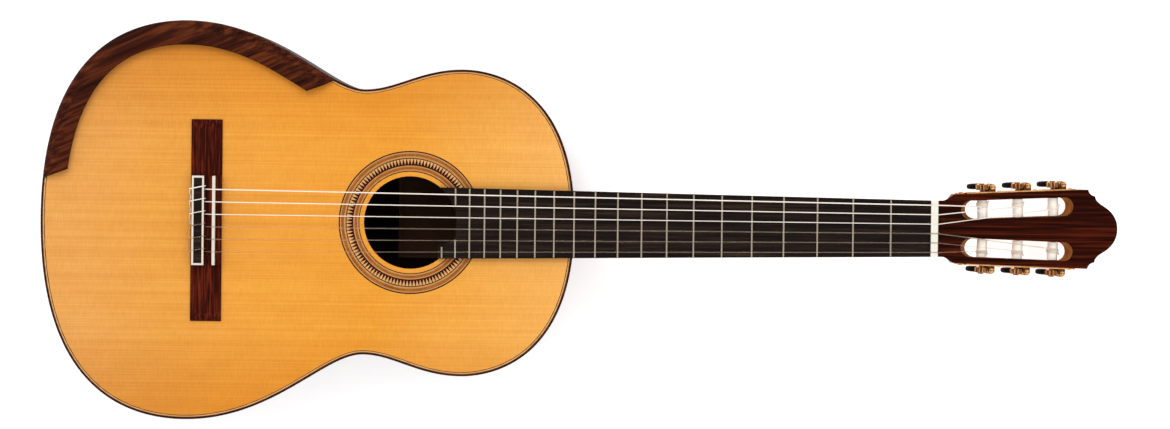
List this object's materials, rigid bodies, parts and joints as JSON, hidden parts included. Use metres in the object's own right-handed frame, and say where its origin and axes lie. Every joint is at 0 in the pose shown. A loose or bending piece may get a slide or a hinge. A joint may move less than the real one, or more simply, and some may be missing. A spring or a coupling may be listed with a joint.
{
  "type": "classical guitar",
  "caption": "Classical guitar with hollow waisted body, raised armrest, slotted head, geared tuning machines, tie-block bridge and nylon strings.",
  "frame": {"origin": "centre of the bounding box in X and Y, at the lowest point of the back", "axes": "+X along the neck towards the head, +Y towards the bass side, +Z out of the soundboard"},
  "size_m": [0.9902, 0.364, 0.1131],
  "materials": {
    "top_cedar": "gloss lacquer over amber cedar with fine straight grain",
    "rosewood": "gloss, dark red-brown with black streaks",
    "light_stripe": "gloss, pale maple stripe",
    "rosette_wood": "gloss marquetry in brown, cream and black",
    "neck_cedar": "satin, brown cedar",
    "brace_spruce": "bare spruce",
    "ebony": "oiled, near black",
    "fret_metal": "polished nickel silver",
    "bone": "polished bone",
    "label_paper": "plain paper",
    "gold_plate": "polished gold plate",
    "button_black": "polished black",
    "roller_white": "polished off-white",
    "wound_string": "silver-plated winding",
    "nylon": "clear nylon"
  },
  "bodies": {
    "guitar": {"soundboard": "top_cedar", "back_plate": "rosewood", "rib_bass": "rosewood", "rib_treble": "rosewood", "end_graft": "light_stripe", "linings": "neck_cedar", "top_binding": "rosewood", "back_binding": "rosewood", "purfling": "light_stripe", "rosette": "rosette_wood", "label": "label_paper", "tail_block": "neck_cedar", "heel_block": "neck_cedar", "soundboard_braces": "brace_spruce", "back_braces": "neck_cedar", "armrest": "rosewood", "bridge": "rosewood", "tie_block_inlay": "bone", "saddle": "bone", "neck_shaft": "neck_cedar", "heel_cap": "rosewood", "fingerboard": "ebony", "frets": "fret_metal", "nut": "bone", "head_core": "neck_cedar", "head_veneer": "rosewood", "side_plate_bass": "gold_plate", "side_plate_treble": "gold_plate", "worm_brackets": "gold_plate", "plate_screws": "gold_plate", "string_1": "nylon", "string_2": "nylon", "string_3": "nylon", "string_4": "wound_string", "string_5": "wound_string", "string_6": "wound_string"},
    "tuner_1": {"tuner_worm_1": "gold_plate", "tuner_button_1": "button_black"},
    "roller_1": {"string_roller_1": "roller_white", "tuner_gear_1": "gold_plate"},
    "tuner_2": {"tuner_worm_2": "gold_plate", "tuner_button_2": "button_black"},
    "roller_2": {"string_roller_2": "roller_white", "tuner_gear_2": "gold_plate"},
    "tuner_3": {"tuner_worm_3": "gold_plate", "tuner_button_3": "button_black"},
    "roller_3": {"string_roller_3": "roller_white", "tuner_gear_3": "gold_plate"},
    "tuner_4": {"tuner_worm_4": "gold_plate", "tuner_button_4": "button_black"},
    "roller_4": {"string_roller_4": "roller_white", "tuner_gear_4": "gold_plate"},
    "tuner_5": {"tuner_worm_5": "gold_plate", "tuner_button_5": "button_black"},
    "roller_5": {"string_roller_5": "roller_white", "tuner_gear_5": "gold_plate"},
    "tuner_6": {"tuner_worm_6": "gold_plate", "tuner_button_6": "button_black"},
    "roller_6": {"string_roller_6": "roller_white", "tuner_gear_6": "gold_plate"}
  },
  "joints": [
    {"name": "tuner_1_turn", "type": "hinge", "parent": "guitar", "child": "tuner_1", "pos_m": [0.37331, -0.03834, 0.0782], "axis": [0.2588, 0, 0.9659], "continuous": true},
    {"name": "roller_1_turn", "type": "hinge", "parent": "guitar", "child": "roller_1", "pos_m": [0.36641, -0.01865, 0.08005], "axis": [-0.0376, -0.9992, 0.0101], "continuous": true},
    {"name": "tuner_2_turn", "type": "hinge", "parent": "guitar", "child": "tuner_2", "pos_m": [0.40709, -0.0397, 0.06915], "axis": [0.2588, 0, 0.9659], "continuous": true},
    {"name": "roller_2_turn", "type": "hinge", "parent": "guitar", "child": "roller_2", "pos_m": [0.4002, -0.02001, 0.071], "axis": [-0.0376, -0.9992, 0.0101], "continuous": true},
    {"name": "tuner_3_turn", "type": "hinge", "parent": "guitar", "child": "tuner_3", "pos_m": [0.44087, -0.04107, 0.0601], "axis": [0.2588, 0, 0.9659], "continuous": true},
    {"name": "roller_3_turn", "type": "hinge", "parent": "guitar", "child": "roller_3", "pos_m": [0.43398, -0.02137, 0.06195], "axis": [-0.0376, -0.9992, 0.0101], "continuous": true},
    {"name": "tuner_4_turn", "type": "hinge", "parent": "guitar", "child": "tuner_4", "pos_m": [0.44087, 0.04107, 0.0601], "axis": [0.2588, 0, 0.9659], "continuous": true},
    {"name": "roller_4_turn", "type": "hinge", "parent": "guitar", "child": "roller_4", "pos_m": [0.43398, 0.02137, 0.06195], "axis": [-0.0376, 0.9992, 0.0101], "continuous": true},
    {"name": "tuner_5_turn", "type": "hinge", "parent": "guitar", "child": "tuner_5", "pos_m": [0.40709, 0.0397, 0.06915], "axis": [0.2588, 0, 0.9659], "continuous": true},
    {"name": "roller_5_turn", "type": "hinge", "parent": "guitar", "child": "roller_5", "pos_m": [0.4002, 0.02001, 0.071], "axis": [-0.0376, 0.9992, 0.0101], "continuous": true},
    {"name": "tuner_6_turn", "type": "hinge", "parent": "guitar", "child": "tuner_6", "pos_m": [0.37331, 0.03834, 0.0782], "axis": [0.2588, 0, 0.9659], "continuous": true},
    {"name": "roller_6_turn", "type": "hinge", "parent": "guitar", "child": "roller_6", "pos_m": [0.36641, 0.01865, 0.08005], "axis": [-0.0376, 0.9992, 0.0101], "continuous": true}
  ],
  "couplings": [
    {"joint": "roller_1_turn", "follows": "tuner_1_turn", "ratio": 0.066667},
    {"joint": "roller_2_turn", "follows": "tuner_2_turn", "ratio": 0.066667},
    {"joint": "roller_3_turn", "follows": "tuner_3_turn", "ratio": 0.066667},
    {"joint": "roller_4_turn", "follows": "tuner_4_turn", "ratio": 0.066667},
    {"joint": "roller_5_turn", "follows": "tuner_5_turn", "ratio": 0.066667},
    {"joint": "roller_6_turn", "follows": "tuner_6_turn", "ratio": 0.066667}
  ]
}
